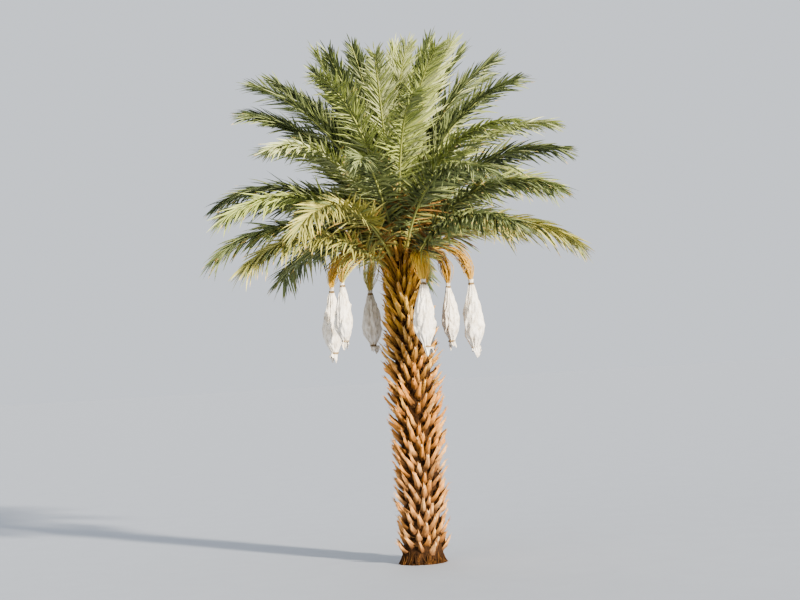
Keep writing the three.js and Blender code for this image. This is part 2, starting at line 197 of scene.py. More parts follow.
def axis_point(z):
    return triple(math.tan(FOOT_LEAN) * z - BOW * z**2, 0, z)


crown_lean = math.atan(math.tan(FOOT_LEAN) - 2 * BOW * CROWN_FOOT)
lean_cos, lean_sin = math.cos(crown_lean), math.sin(crown_lean)
crown_turn = np.array([[lean_cos, 0, lean_sin], [0, 1, 0], [-lean_sin, 0, lean_cos]])
crown_foot = axis_point(CROWN_FOOT)
crown_up = crown_turn @ UP


def from_crown(points):
    """Points in the crown's leaning frame, placed in the palm's."""
    return crown_foot + np.asarray(points) @ crown_turn.T


# Materials


def linear(colour):
    """A colour given as 0xRRGGBB, in the linear values that a shader takes."""
    parts = [(colour >> shift & 255) / 255 for shift in (16, 8, 0)]
    return [p / 12.92 if p <= 0.04045 else ((p + 0.055) / 1.055) ** 2.4 for p in parts] + [1]


class Finish:
    """A node-based material. Most methods add nodes, and give the socket that they end in."""

    def __init__(self, name, colour, roughness, **inputs):
        self.material = bpy.data.materials.new(name)
        self.material.use_nodes = True
        self.tree = self.material.node_tree
        self.shader = self.tree.nodes["Principled BSDF"]
        self.fill(self.shader, Base_Color=colour, Roughness=roughness, **inputs)

    def put(self, target, value):
        """Wire a socket to an input, or give the input a plain value. A colour is 0xRRGGBB."""
        if isinstance(value, bpy.types.NodeSocket):
            self.tree.links.new(value, target)
        else:
            target.default_value = linear(value) if target.type == "RGBA" else value

    def fill(self, node, **inputs):
        for name, value in inputs.items():
            self.put(node.inputs[name.replace("_", " ")], value)

    def node(self, kind, **inputs):
        node = self.tree.nodes.new("ShaderNode" + kind)
        self.fill(node, **inputs)
        return node

    def place(self, scale=(1, 1, 1), attribute=None):
        """Coordinates in metres, or a mesh's own attribute, scaled along each axis."""
        if attribute:
            node = self.node("Attribute")
            node.attribute_name = attribute
            source = node.outputs["Vector"]
        else:
            source = self.node("TexCoord").outputs["Object"]
        return self.node("Mapping", Vector=source, Scale=scale).outputs["Vector"]

    def noise(self, vector, scale, detail=4, roughness=0.55):
        node = self.node("TexNoise", Vector=vector, Scale=scale, Detail=detail, Roughness=roughness)
        return node.outputs["Fac"]

    def cells(self, vector, scale):
        return self.node("TexVoronoi", Vector=vector, Scale=scale).outputs["Distance"]

    def ramp(self, socket, *stops):
        node = self.node("ValToRGB", Fac=socket)
        elements = node.color_ramp.elements
        while len(elements) < len(stops):
            elements.new(0.5)
        for element, (at, colour) in zip(elements, stops):
            element.position = at
            element.color = linear(colour)
        return node.outputs["Color"]

    def span(self, socket, low, high, start=0.3, end=0.7):
        node = self.node("MapRange", Value=socket, From_Min=start, From_Max=end, To_Min=low, To_Max=high)
        return node.outputs["Result"]

    def part(self, vector, axis):
        return self.node("SeparateXYZ", Vector=vector).outputs[axis]

    def blend(self, a, b, share, mode="MIX"):
        node = self.node("Mix")
        node.data_type = "RGBA"
        node.blend_type = mode
        for name, value in (("A", a), ("B", b)):
            self.put(next(s for s in node.inputs if s.name == name and s.type == "RGBA"), value)
        self.fill(node, Factor=share)
        return next(s for s in node.outputs if s.type == "RGBA")

    def colour(self, socket):
        self.fill(self.shader, Base_Color=socket)

    def rough(self, socket, low, high):
        self.fill(self.shader, Roughness=self.span(socket, low, high))

    def bump(self, height, distance, strength=1.0, under=None):
        node = self.node("Bump", Height=height, Distance=distance, Strength=strength)
        if under is not None:
            self.fill(node, Normal=under)
        return node.outputs["Normal"]

    def relief(self, normal):
        self.fill(self.shader, Normal=normal)


def leaf_finish(name, colour, roughness=0.5):
    """A leaflet's plain colour, under fine bloom and veins that change its gloss and relief."""
    leaf = Finish(name, colour, roughness, Specular_IOR_Level=0.38)
    bloom = leaf.noise(leaf.place(), 34, detail=5)
    leaf.rough(bloom, roughness - 0.1, roughness + 0.14)
    veins = leaf.noise(leaf.place((1, 1, 1), "grain"), 9, detail=3)
    leaf.relief(leaf.bump(veins, 0.0012, 0.5, leaf.bump(bloom, 0.001, 0.4)))
    return leaf.material


def stalk_finish(name, colour, dark, light, roughness=0.42):
    """Smooth living stalk, with long streaks along it and a few scuffs."""
    stalk = Finish(name, colour, roughness, Specular_IOR_Level=0.45)
    streaks = stalk.noise(stalk.place((30, 2.2, 1), "grain"), 3, detail=6)
    scuffs = stalk.noise(stalk.place(), 26, detail=6, roughness=0.7)
    base = stalk.ramp(streaks, (0.25, dark), (0.5, colour), (0.75, light))
    stalk.colour(stalk.blend(base, dark, stalk.span(scuffs, 0, 0.55, 0.58, 0.75)))
    stalk.rough(scuffs, roughness - 0.08, roughness + 0.2)
    stalk.relief(stalk.bump(streaks, 0.0018, 0.6))
    return stalk.material


def boot_finish(name, dark, colour, light, weather):
    """A dry leaf base: woody grain along it, painted shade at its root where the boots crowd over each other,
    paler ridges and grey weathering.
    """
    boot = Finish(name, colour, 0.86, Specular_IOR_Level=0.25)
    grain = boot.noise(boot.place((46, 7, 1), "grain"), 2.6, detail=8, roughness=0.65)
    patches = boot.noise(boot.place(), 15, detail=6, roughness=0.62)
    each = boot.noise(boot.place((0, 0, 1), "grain"), 3.1, detail=0)
    base = boot.ramp(grain, (0.36, dark), (0.46, colour), (0.56, colour), (0.68, light))
    tone = boot.ramp(each, (0.38, dark), (0.5, colour), (0.62, light))
    base = boot.blend(base, tone, 0.35)
    base = boot.blend(base, weather, boot.span(patches, 0, 0.7, 0.5, 0.7))
    # Painted shade: each boot darkens towards its root, where the boots above and beside it shade it.
    root = boot.part(boot.place(attribute="grain"), "Y")
    boot.colour(boot.blend(base, dark, boot.span(root, 0.9, 0.0, 0.02, 0.15)))
    boot.rough(patches, 0.74, 0.96)
    coarse = boot.bump(patches, 0.015, 0.7)
    boot.relief(boot.bump(grain, 0.012, 1.0, coarse))
    return boot.material


def cut_finish(name, dark, colour, light):
    """The sawn end of a leaf base, with its dotted bundles of fibre."""
    cut = Finish(name, colour, 0.9, Specular_IOR_Level=0.2)
    dots = cut.cells(cut.place(), 210)
    stains = cut.noise(cut.place(), 42, detail=5)
    base = cut.ramp(dots, (0.15, dark), (0.42, colour), (0.8, light))
    cut.colour(cut.blend(base, dark, cut.span(stains, 0, 0.7, 0.5, 0.7)))
    cut.rough(stains, 0.8, 0.97)
    cut.relief(cut.bump(dots, 0.003, 0.8))
    return cut.material


def fibre_finish(name, dark, colour, light):
    """Matted brown fibre, whose threads cross each other."""
    fibre = Finish(name, colour, 0.95, Specular_IOR_Level=0.15)
    one_way = fibre.noise(fibre.place((95, 95, 9)), 1.4, detail=6, roughness=0.7)
    other_way = fibre.noise(fibre.place((18, 18, 120)), 1.2, detail=6, roughness=0.7)
    threads = fibre.blend(one_way, other_way, 0.5, "MULTIPLY")
    clumps = fibre.noise(fibre.place(), 12, detail=5)
    base = fibre.ramp(threads, (0.2, dark), (0.36, colour), (0.55, light))
    fibre.colour(fibre.blend(base, dark, fibre.span(clumps, 0, 0.75)))
    fibre.rough(clumps, 0.85, 1.0)
    fibre.relief(fibre.bump(threads, 0.007, 1.0, fibre.bump(clumps, 0.02, 0.6)))
    return fibre.material


def cloth_finish():
    """White bag cloth: an open weave, soft creases with painted shade in their hollows, and a little dust."""
    cloth = Finish("bag_cloth", 0xE4DFD6, 0.85, Specular_IOR_Level=0.2, Sheen_Weight=0.2)
    weave = []
    for scale in ((1400, 0, 0), (0, 1400, 0)):
        wave = cloth.node("TexWave", Vector=cloth.place(scale, "grain"), Scale=0.32, Distortion=0.4)
        weave.append(wave.outputs["Fac"])
    threads = cloth.blend(*weave, 0.5, "MULTIPLY")
    creases = cloth.noise(cloth.place((1, 1, 0.45)), 24, detail=7, roughness=0.6)
    dust = cloth.noise(cloth.place(), 8, detail=6, roughness=0.66)
    # Painted shade: the cloth is greyer where the crease relief dips.
    base = cloth.ramp(creases, (0.34, 0xBDB4A4), (0.48, 0xE0DAD0), (0.7, 0xEFEBE4))
    cloth.colour(cloth.blend(base, 0xB9A27E, cloth.span(dust, 0, 0.5, 0.54, 0.74)))
    cloth.rough(dust, 0.76, 0.92)
    cloth.relief(cloth.bump(threads, 0.0006, 0.5, cloth.bump(creases, 0.02, 0.8)))
    return cloth.material


LEAF_TONES = {
    # The darkest green is painted shade, dealt out to the fronds that stand for shaded ones.
    "leaf_deep_shade": 0x4F593A,
    "leaf_green": 0x808A5C,
    "leaf_grey_green": 0x929970,
    "leaf_pale": 0xACB286,
    "leaf_fresh": 0x9CA664,
    "leaf_yellow_green": 0xB6B26E,
    "leaf_olive": 0x9A985A,
    "leaf_straw": 0xC8AA6A,
    "leaf_dry": 0x8E6A3C,
}
DEEP_SHADE, GREEN, GREY, PALE, FRESH, YELLOW, OLIVE, STRAW, DRY = range(len(LEAF_TONES))
leaf_materials = [leaf_finish(name, colour) for name, colour in LEAF_TONES.items()]

rib_materials = [
    stalk_finish("leaf_stalk_foot", 0xD29C48, 0x9C6A30, 0xEBC277, 0.5),
    stalk_finish("leaf_stalk", 0xA39C50, 0x7F7C3A, 0xBDB26A),
    stalk_finish("leaf_rib", 0x9CA260, 0x79824A, 0xB9BA7C, 0.48),
]
bark_materials = [
    boot_finish("boot_weathered", 0x543620, 0xD69A5C, 0xF2CE9A, 0xA68C68),
    boot_finish("boot_tan", 0x58381C, 0xDC9850, 0xF6CC8A, 0x9C8054),
    boot_finish("boot_amber", 0x5A3C1A, 0xD8A056, 0xF4D28A, 0x967F4A),
    boot_finish("boot_gold", 0x583C18, 0xD8A64A, 0xF4D47E, 0x94803E),
    cut_finish("boot_cut_old", 0x86684A, 0xCCAE86, 0xE6D0AC),
    cut_finish("boot_cut_fresh", 0xA07E4A, 0xDEBE86, 0xF2DEB2),
]
WEATHERED, TAN, AMBER, GOLD, OLD_CUT, FRESH_CUT = range(6)
fibre_materials = [
    # The trunk fibre is darkened past its own brown: painted shade in the gaps between the boots.
    fibre_finish("trunk_fibre_and_gap_shade", 0x160E07, 0x3A2616, 0x664628),
    fibre_finish("fibre_strand_dark", 0x3A2614, 0x6A4726, 0x8F6A3E),
    fibre_finish("fibre_strand_pale", 0x6B4C2A, 0xA07B4C, 0xC8A674),
]
bunch_materials = [
    stalk_finish("fruit_stalk", 0xDCAE4E, 0xB8843A, 0xF0CC78, 0.38),
    stalk_finish("fruit_strand_orange", 0xD4B24C, 0xB08A38, 0xE8D488, 0.42),
    stalk_finish("fruit_strand_green", 0xCAC87C, 0xA0A256, 0xE4E0A8, 0.42),
    stalk_finish("fruit_strand_brown", 0xB4904A, 0x84643A, 0xD0B47C, 0.6),
]
cloth_material = cloth_finish()
twine_material = fibre_finish("bag_twine", 0x5E4A34, 0x9A8460, 0xC2AE86)


# Meshes


def new_object(name, data):
    thing = bpy.data.objects.new(name, data)
    scene.collection.objects.link(thing)
    return thing


def grid_faces(rows, cols, wrap=True):
    """Triangles between the points of a grid. wrap joins the last column to the first."""
    r = np.arange(rows - 1)[:, None]
    c = np.arange(cols if wrap else cols - 1)[None, :]
    a = r * cols + c
    b = r * cols + (c + 1) % cols
    return np.stack([a, b, b + cols, a, b + cols, a + cols], axis=-1).reshape(-1, 3)


def fan_faces(ring_start, cols, centre):
    """Triangles from a ring of points to one point."""
    k = np.arange(cols)
    return triple(ring_start + k, ring_start + (k + 1) % cols, centre)


def tipped(rings, tip):
    """Points and faces of a tube through rings, drawn to a tip past the last of them."""
    rows, cols = rings.shape[:2]
    faces = np.vstack([grid_faces(rows, cols), fan_faces((rows - 1) * cols, cols, rows * cols)])
    return np.vstack([rings.reshape(-1, 3), tip]), faces


class Piece:
    """Faces of one kind, gathered from arrays of equal shapes and made into one joined mesh."""

    def __init__(self, name, slot, nodes, materials, smooth=True):
        self.name, self.slot, self.nodes = name, slot, nodes
        self.materials, self.smooth = materials, smooth
        self.points, self.faces, self.picks, self.grains = [], [], [], []
        self.size = 0

    def add(self, shapes, faces, picks=0, grain=None):
        """shapes is one array of points or a row of them, each with the same faces. picks gives
        the material of each face, or of each shape. grain gives points their texture coordinates:
        across the fibre, along it, and a number that tells one shape from the next."""
        shapes = np.asarray(shapes, dtype=float)
        if shapes.ndim == 2:
            shapes = shapes[None]
        count, size = shapes.shape[:2]
        starts = self.size + size * np.arange(count)
        self.faces.append((faces[None] + starts[:, None, None]).reshape(-1, 3))
        picks = np.asarray(picks)
        if picks.ndim == 1 and len(picks) == count and count != len(faces):
            picks = picks[:, None]
        self.picks.append(np.broadcast_to(picks, (count, len(faces))).reshape(-1))
        self.points.append(shapes.reshape(-1, 3))
        grain = np.zeros(3) if grain is None else grain
        self.grains.append(np.broadcast_to(grain, shapes.shape).reshape(-1, 3))
        self.size += count * size

    def make(self):
        points, faces = np.concatenate(self.points), np.concatenate(self.faces)
        mesh = bpy.data.meshes.new(self.name)
        mesh.vertices.add(len(points))
        mesh.vertices.foreach_set("co", points.ravel())
        mesh.loops.add(faces.size)
        mesh.loops.foreach_set("vertex_index", faces.ravel())
        mesh.polygons.add(len(faces))
        mesh.polygons.foreach_set("loop_start", np.arange(0, faces.size, 3))
        mesh.polygons.foreach_set("material_index", np.concatenate(self.picks))
        mesh.polygons.foreach_set("use_smooth", np.full(len(faces), self.smooth))
        grain = mesh.attributes.new("grain", "FLOAT_VECTOR", "POINT")
        grain.data.foreach_set("vector", np.concatenate(self.grains).ravel())
        mesh.update(calc_edges=True)
        mesh.validate()
        for material in self.materials:
            mesh.materials.append(material)
        piece = new_object(self.name, mesh)
        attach(piece, "root")
        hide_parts(*self.nodes)


def strands(starts, ways, lengths, radii, bend=0, sides=3, steps=4):
    """Thin tapering strands that leave each start along its way and curve by bend, a vector."""
    share = np.linspace(0, 1, steps + 1)
    side = unit(np.cross(ways, UP + 0.31 * np.roll(ways, 1, axis=-1)))
    other = np.cross(ways, side)
    reach = col(lengths)
    centres = starts[:, None] + (reach * ways)[:, None] * col(share)
    centres = centres + (reach * bend)[:, None] * col(share**2)
    thick = np.broadcast_to(radii, len(starts))[:, None] * (1 - 0.85 * share)
    ring = round_ring(sides, side[:, None], other[:, None])
    points = centres[:, :, None] + thick[:, :, None, None] * ring
    return points.reshape(len(starts), -1, 3)


# Fronds


def seat_of(i, azimuth):
    place = i - (FRONDS - IN_HEART) + 1  # counts from 1 in the heart
    if place > 0:
        height = HEAD + HEART_SEAT_STEP * place
        radius = mix(*HEART_RADIUS, (height - HEAD) / HEART_HEIGHT) / 2
    else:
        height = SEAT_STEP * i
        radius = along(HEAD_CORE, height) - FROND_SUNK
    return height * UP + radius * outward(azimuth)


class Frond:
    """How frond i grows. youth runs from 0 for the oldest to 1 for the youngest."""

    def __init__(self, i):
        self.i = i
        self.youth = i / (FRONDS - 1)
        self.azimuth = FIRST_AZIMUTH + i * GOLDEN_TURN + rad(2.5) * vary(i, 4)
        self.rise = along(RISE, self.youth) + rad(2.5) * vary(i, 5)
        self.bend = along(BEND, self.youth) + rad(9) * vary(i, 6)
        self.bend_power = along(BEND_POWER, self.youth)
        self.length = along(FROND_LENGTH, self.youth) + 0.09 * vary(i, 7)
        self.swing = rad(12) * vary(i, 8)
        self.roll = rad(16) * vary(i, 9)
        self.foot = from_crown(seat_of(i, self.azimuth))
        self.turn = crown_turn @ spin(self.azimuth)

    def way_at(self, shares):
        slope = self.rise - self.bend * shares**self.bend_power
        return col(np.cos(slope)) * outward(self.swing * shares**2) + col(np.sin(slope)) * UP

    def rib(self, shares):
        """Points, ways, sides and faces of the rib at shares of its length, in the palm's frame."""
        shares = np.asarray(shares, dtype=float)
        steps = (np.arange(RIB_STEPS) + 0.5) / RIB_STEPS
        knots = np.cumsum(self.way_at(steps) * self.length / RIB_STEPS, axis=0)
        knots = np.vstack([np.zeros(3), knots])
        ends = np.arange(RIB_STEPS + 1) / RIB_STEPS
        points = triple(*(np.interp(shares, ends, knots[:, k]) for k in range(3)))
        way = self.way_at(shares)
        level = sideways(self.swing * shares**2)
        upper = np.cross(way, level)
        turn = col(self.roll * shares)
        side = np.cos(turn) * level + np.sin(turn) * upper
        face = -np.sin(turn) * level + np.cos(turn) * upper
        return (self.foot + points @ self.turn.T, *(v @ self.turn.T for v in (way, side, face)))


def rib_width(share):
    return 0.030 * (1 - share) + 0.008 + 0.060 * np.exp(-share / 0.03)


def rib_depth(share):
    return 0.020 * (1 - share) + 0.006 + 0.016 * np.exp(-share / 0.05)


def leaflet_length(u):
    return LEAFLET * (1 - 0.42 * u**2) * (1 - 0.5 * (1 - u) ** 6)


# A rib's section: share of its width to the side, share of its depth towards the face
RIB_FACE = [(0.50, -0.06), (0.30, 0.05), (0.00, -0.04), (-0.30, 0.05), (-0.50, -0.06)]
RIB_KEEL = [(-0.43, -0.42), (-0.23, -0.82), (0.00, -1.00), (0.23, -0.82), (0.43, -0.42)]
RIB_SECTION = np.array(RIB_FACE + RIB_KEEL)
RIB_SHARES = np.concatenate([np.linspace(0, 0.14, 12), np.linspace(0.17, 1, 30)])


def add_rib(piece, frond):
    """The stalk and rib, whose foot is amber, its bare length green and its rib paler."""
    points, _, side, face = frond.rib(RIB_SHARES)
    wide = col(rib_width(RIB_SHARES)) * RIB_SECTION[:, 0]
    deep = col(rib_depth(RIB_SHARES)) * RIB_SECTION[:, 1]
    rings = points[:, None] + col(wide) * side[:, None] + col(deep) * face[:, None]
    rows, cols = rings.shape[:2]
    shape, faces = tipped(rings, points[-1] + 0.03 * frond.rib([1.0])[1][0])
    share = np.append(np.repeat(RIB_SHARES, cols), 1)
    across = np.append(np.tile(np.arange(cols) / cols, rows), 0)
    grain = triple(across, share * frond.length, vary(frond.i, 20))
    face_share = share[faces].mean(axis=1)
    foot_end = 0.07 + 0.02 * vary(frond.i, 21) + 0.03 * (1 - frond.youth)
    picks = np.where(face_share < foot_end, 0, np.where(face_share < 0.16, 1, 2))
    piece.add(shape, faces, picks, grain)


def add_spines(piece, frond):
    """Stiff spines stand on the stalk below the lowest leaflets."""
    share = np.tile(np.linspace(0.055, BARE_STALK, SPINES), 2)
    hand = np.repeat([1.0, -1.0], SPINES)
    points, way, side, face = frond.rib(share)
    lean = rad(38) + rad(14) * either(len(share))
    raised = rad(32) + rad(22) * either(len(share))
    across = col(hand * np.cos(raised)) * side + col(np.sin(raised)) * face
    ways = unit(col(np.cos(lean)) * way + col(np.sin(lean)) * across)
    starts = points + col(0.42 * hand * rib_width(share)) * side
    higher = (share - 0.055) / (BARE_STALK - 0.055)
    lengths = mix(0.05, 0.15, higher) * uniform(0.7, 1.1, len(share))
    shapes = strands(starts, ways, lengths, SPINE_RADIUS, sides=4, steps=2)
    piece.add(shapes, grid_faces(3, 4), 1)


# A leaflet's outline: share of its length, share of its half width, how far it is folded
LEAFLET_AT = np.array([0, 0.06, 0.22, 0.45, 0.68, 0.86, 1.0])
LEAFLET_WIDE = np.array([0.42, 0.82, 1.0, 0.92, 0.68, 0.38, 0.0])
LEAFLET_FOLD = np.radians([66, 54, 38, 30, 24, 18, 0])


def leaflet_faces():
    rows = len(LEAFLET_AT) - 1
    body = grid_faces(rows, 3, wrap=False)
    last = (rows - 1) * 3
    return np.vstack([body, [[last, last + 1, rows * 3], [last + 1, last + 2, rows * 3]]])


LEAFLET_FACES = leaflet_faces()


def leaflet_shapes(starts, reach, way, face, lengths, widths, twist, sag):
    """Blades folded along the middle like a trough that opens to the frond's upper side."""
    wide = unit(way - col((way * reach).sum(axis=-1)) * reach)
    raised = np.cross(reach, wide)
    raised = raised * np.sign((raised * face).sum(axis=-1, keepdims=True))
    turned = col(np.cos(twist)) * wide + col(np.sin(twist)) * raised
    normal = col(np.cos(twist)) * raised - col(np.sin(twist)) * wide
    at = LEAFLET_AT[None, :, None]
    middle = starts[:, None] + col(lengths)[:, None] * (at * reach[:, None] + at**2 * sag[:, None])
    half = widths[:, None] / 2 * LEAFLET_WIDE
    out = col(half * np.cos(LEAFLET_FOLD)) * turned[:, None]
    lift = col(half * np.sin(LEAFLET_FOLD)) * normal[:, None]
    body = np.stack([middle + out + lift, middle, middle - out + lift], axis=2)[:, :-1]
    return np.concatenate([body.reshape(len(starts), -1, 3), middle[:, -1:]], axis=1)


def tones_of(frond):
    """The main colour of a frond's leaflets, and two more. Each age has two light and two dark rows; the dark
    rows paint some fronds as shaded.
    """
    if frond.youth < 0.2:
        rows = [(OLIVE, YELLOW, GREEN), (GREEN, OLIVE, DEEP_SHADE), (YELLOW, OLIVE, GREEN), (GREEN, DEEP_SHADE, OLIVE)]
    elif frond.youth < 0.72:
        rows = [(PALE, FRESH, GREEN), (GREEN, DEEP_SHADE, GREY), (FRESH, GREY, GREEN), (DEEP_SHADE, GREEN, GREY)]
    else:
        rows = [(FRESH, GREY, GREEN), (DEEP_SHADE, GREEN, GREY), (PALE, FRESH, GREY), (DEEP_SHADE, GREEN, FRESH)]
    return rows[int((vary(frond.i, TONE_KEY) + 1) * 2) % 4]


def add_leaflets(piece, frond):
    u = np.tile((np.arange(LEAFLETS) + 0.5) / LEAFLETS, 2)
    hand = np.repeat([1.0, -1.0], LEAFLETS)
    total = len(u)
    share = mix(BARE_STALK, LAST_LEAFLET, np.clip(u + 0.3 / LEAFLETS * either(total), 0, 1))
    points, way, side, face = frond.rib(share)
    closed = mix(1, 0.62, frond.youth)
    unruly = mix(1.5, 1.15, frond.youth)
    spread = mix(*SPREAD, u) * closed + rad(9) * unruly * either(total)
    turn = (np.arange(total) + np.where(hand > 0, 0, 2)) % len(RANKS)
    rank = RANKS[turn] * mix(1, 0.75, u) + rad(12) * unruly * either(total)
    across = col(hand * np.cos(rank)) * side + col(np.sin(rank)) * face
    droop = DROOP * (1 - frond.youth)
    reach = unit(col(np.cos(spread)) * way + col(np.sin(spread)) * across - droop * crown_up)
    starts = points + col(0.4 * hand * rib_width(share)) * side - col(0.1 * rib_depth(share)) * face
    slimmer = 1 - 0.38 * frond.youth**2 * u**3
    lengths = leaflet_length(u) * slimmer * uniform(0.8, 1.03, total)
    widths = mix(0.036, 0.025, u) * uniform(0.8, 1.15, total)
    twist = hand * rad(24) + rad(30) * either(total)
    hang = mix(0.2, 0.03, frond.youth) + 0.08 * uniform(0, 1, total)
    sag = 0.06 * way - col(hang) * crown_up + 0.06 * unruly * either(total, 3)
    shapes = leaflet_shapes(starts, reach, way, face, lengths, widths, twist, sag)
    tone_row = tones_of(frond)
    tones = draws.choice(tone_row, total, p=[0.66, 0.22, 0.12])
    # The lowest leaflets of older fronds are tangled, and some have dried. Their browns also paint the shade
    # that falls in the crown's middle.
    withered_and_shaded = (u < WITHERED_AND_SHADED_TO) & (uniform(0, 1, total) < 0.5 * (1 - frond.youth))
    tones = np.where(withered_and_shaded, draws.choice([OLIVE, STRAW, DRY], total, p=[0.4, 0.2, 0.4]), tones)
    picks = np.repeat(tones[:, None], len(LEAFLET_FACES), axis=1)
    dry = uniform(0, 1, total) < 0.3 * (1 - frond.youth) ** 2
    picks[dry, -2:] = STRAW
    clear = ~is_blocked(shapes)
    at = np.repeat(LEAFLET_AT, 3)[: shapes.shape[1]]
    across_at = np.append(np.tile([0.0, 0.5, 1.0], len(LEAFLET_AT) - 1), 0.5)
    grain = triple(across_at, at, 0)
    piece.add(shapes[clear], LEAFLET_FACES, picks[clear], grain)
    add_end_leaflet(piece, frond, tone_row[0])


def add_end_leaflet(piece, frond, tone):
    points, way, side, face = frond.rib([1.0])
    length = np.array([leaflet_length(1) / 2])
    shape = leaflet_shapes(points, way, side, face, length, np.array([0.02]), np.zeros(1), 0 * way)
    piece.add(shape, LEAFLET_FACES, tone)


# Fruit bunches


class Bunch:
    """A stalk that arches out of the head, and the bag that hangs from its end."""

    def __init__(self, number, leaf):
        self.number, self.leaf = number, leaf
        seat_azimuth = FIRST_AZIMUTH + leaf * GOLDEN_TURN + SEAT_BESIDE
        self.azimuth = FIRST_AZIMUTH + leaf * GOLDEN_TURN + HANG_BESIDE
        height = SEAT_STEP * (leaf + SEAT_ABOVE)
        radius = along(HEAD_CORE, height) - FROND_SUNK
        self.turn = spin(self.azimuth)
        seat = from_crown(height * UP + radius * outward(seat_azimuth))
        self.seat = (seat - crown_foot) @ self.turn
        self.neck = np.array(
            [within(BUNCH_REACH, vary(leaf, 277)), 0, within(NECK_HEIGHT, vary(leaf, 11)) - CROWN_FOOT]
        )
        self.length = within(BAG_LENGTH, vary(leaf, 12))
        self.radius = within(BAG_RADIUS, vary(leaf, 13))
        self.seat_turn = seat_azimuth - self.azimuth

    def to_palm(self, points):
        return crown_foot + points @ self.turn.T

    def stalk_curve(self, share):
        """The stalk's points at shares of its curve, and which way its broad face looks there."""
        out = (self.neck[0] - self.seat[0]) / 3
        first = self.seat + out * outward(self.seat_turn) + out * math.tan(STALK_RISE) * UP
        second = np.array([self.neck[0], self.neck[1], self.seat[2] + STALK_ARCH])
        s = col(share)
        knots = (self.seat, first, second, self.neck)
        powers = ((1 - s) ** 3, 3 * s * (1 - s) ** 2, 3 * s**2 * (1 - s), s**3)
        point = sum(p * k for p, k in zip(powers, knots))
        way = 3 * (1 - s) ** 2 * (first - self.seat)
        way = way + 6 * s * (1 - s) * (second - first) + 3 * s**2 * (self.neck - second)
        return point, unit(np.cross(way, ACROSS))


bunches = [Bunch(k + 1, leaf) for k, leaf in enumerate(BUNCH_LEAVES)]


def is_blocked(shapes):
    """True for each shape that runs into a bag or the trunk."""
    hit = np.zeros(len(shapes), dtype=bool)
    for bunch in bunches:
        axis = bunch.to_palm(bunch.neck)
        down = (axis[2] - shapes[..., 2]) / bunch.length
        off = np.hypot(shapes[..., 0] - axis[0], shapes[..., 1] - axis[1])
        close = off < bunch.radius * along(BAG_OUTLINE, down) + 0.012
        hit |= (close & (down > -0.02) & (down < 1.02)).any(axis=1)
    middle = axis_point(shapes[..., 2])
    off = np.hypot(shapes[..., 0] - middle[..., 0], shapes[..., 1] - middle[..., 1])
    inside = (shapes[..., 2] < CROWN_FOOT) & (off < along(CORE, shapes[..., 2]) + 0.03)
    return hit | inside.any(axis=1)


def add_stalk(piece, bunch):
    share = np.linspace(0, 1, 34)
    point, face = bunch.stalk_curve(share)
    angles = turns(12)
    swell = 1 + 0.25 * np.exp(-share / 0.05) - 0.12 * share
    wide = (STALK_SIZE[0] / 2 * swell)[:, None] * np.cos(angles)
    deep = (STALK_SIZE[1] / 2 * swell)[:, None] * np.sin(angles)
    rings = point[:, None] + col(wide) * ACROSS + col(deep) * face[:, None]
    across = np.tile(np.arange(12) / 12, len(share))
    grain = triple(across, np.repeat(share, 12), vary(bunch.leaf, 23))
    piece.add(bunch.to_palm(rings.reshape(-1, 3)), grid_faces(len(share), 12), 0, grain)


def add_fruit_strands(piece, bunch):
    """Thin wavy strands leave the stalk's outer half, bow away from it and meet in the bag's neck."""
    steps = np.linspace(0, 1, 15)
    begin = uniform(0.34, 0.82, STRANDS)
    share = begin[:, None] + (1 - begin[:, None]) * steps
    point, face = bunch.stalk_curve(share)
    angle = uniform(0, 2 * math.pi, (STRANDS, 1, 1))
    off = np.cos(angle) * ACROSS + 0.8 * np.sin(angle) * face
    bow = np.sin(math.pi * steps**0.8)[None, :, None] * uniform(0.01, 0.112, (STRANDS, 1, 1))
    waves = 0.005 * np.sin(uniform(14, 30, (STRANDS, 1, 1)) * steps[:, None] + 6 * angle)
    centres = point + off * (bow + 0.012) + waves * np.sin(math.pi * steps)[:, None] * (ACROSS + face)
    thick = uniform(0.0024, 0.0042, (STRANDS, 1, 1, 1))
    shapes = centres[:, :, None] + thick * round_ring(4, ACROSS, face)
    placed = bunch.to_palm(shapes.reshape(STRANDS, -1, 3))
    main = (1, 1, 2, 3, 2, 3, 1)[bunch.number - 1]
    piece.add(placed, grid_faces(len(steps), 4), draws.choice([main, 0, 3], STRANDS, p=[0.7, 0.2, 0.1]))


def smooth_outline(down):
    """The outline table drawn as a soft line."""
    spots = down[:, None] + np.linspace(-0.035, 0.035, 9)
    return along(BAG_OUTLINE, np.clip(spots, 0, 1)).mean(axis=1)


def ridge(phase):
    """A wave from -1 to 1 whose crests are sharp, like a fold's."""
    return 1 - 2 * np.abs(np.sin(phase / 2))


def wandering(points, seed):
    """Soft noise from about -1 to 1 for each point."""
    offset = Vector((3.1 * seed, 1.7 * seed, 0))
    return np.array([noise.fractal(Vector(p) + offset, 1.0, 2.0, 2) for p in points.reshape(-1, 3)])


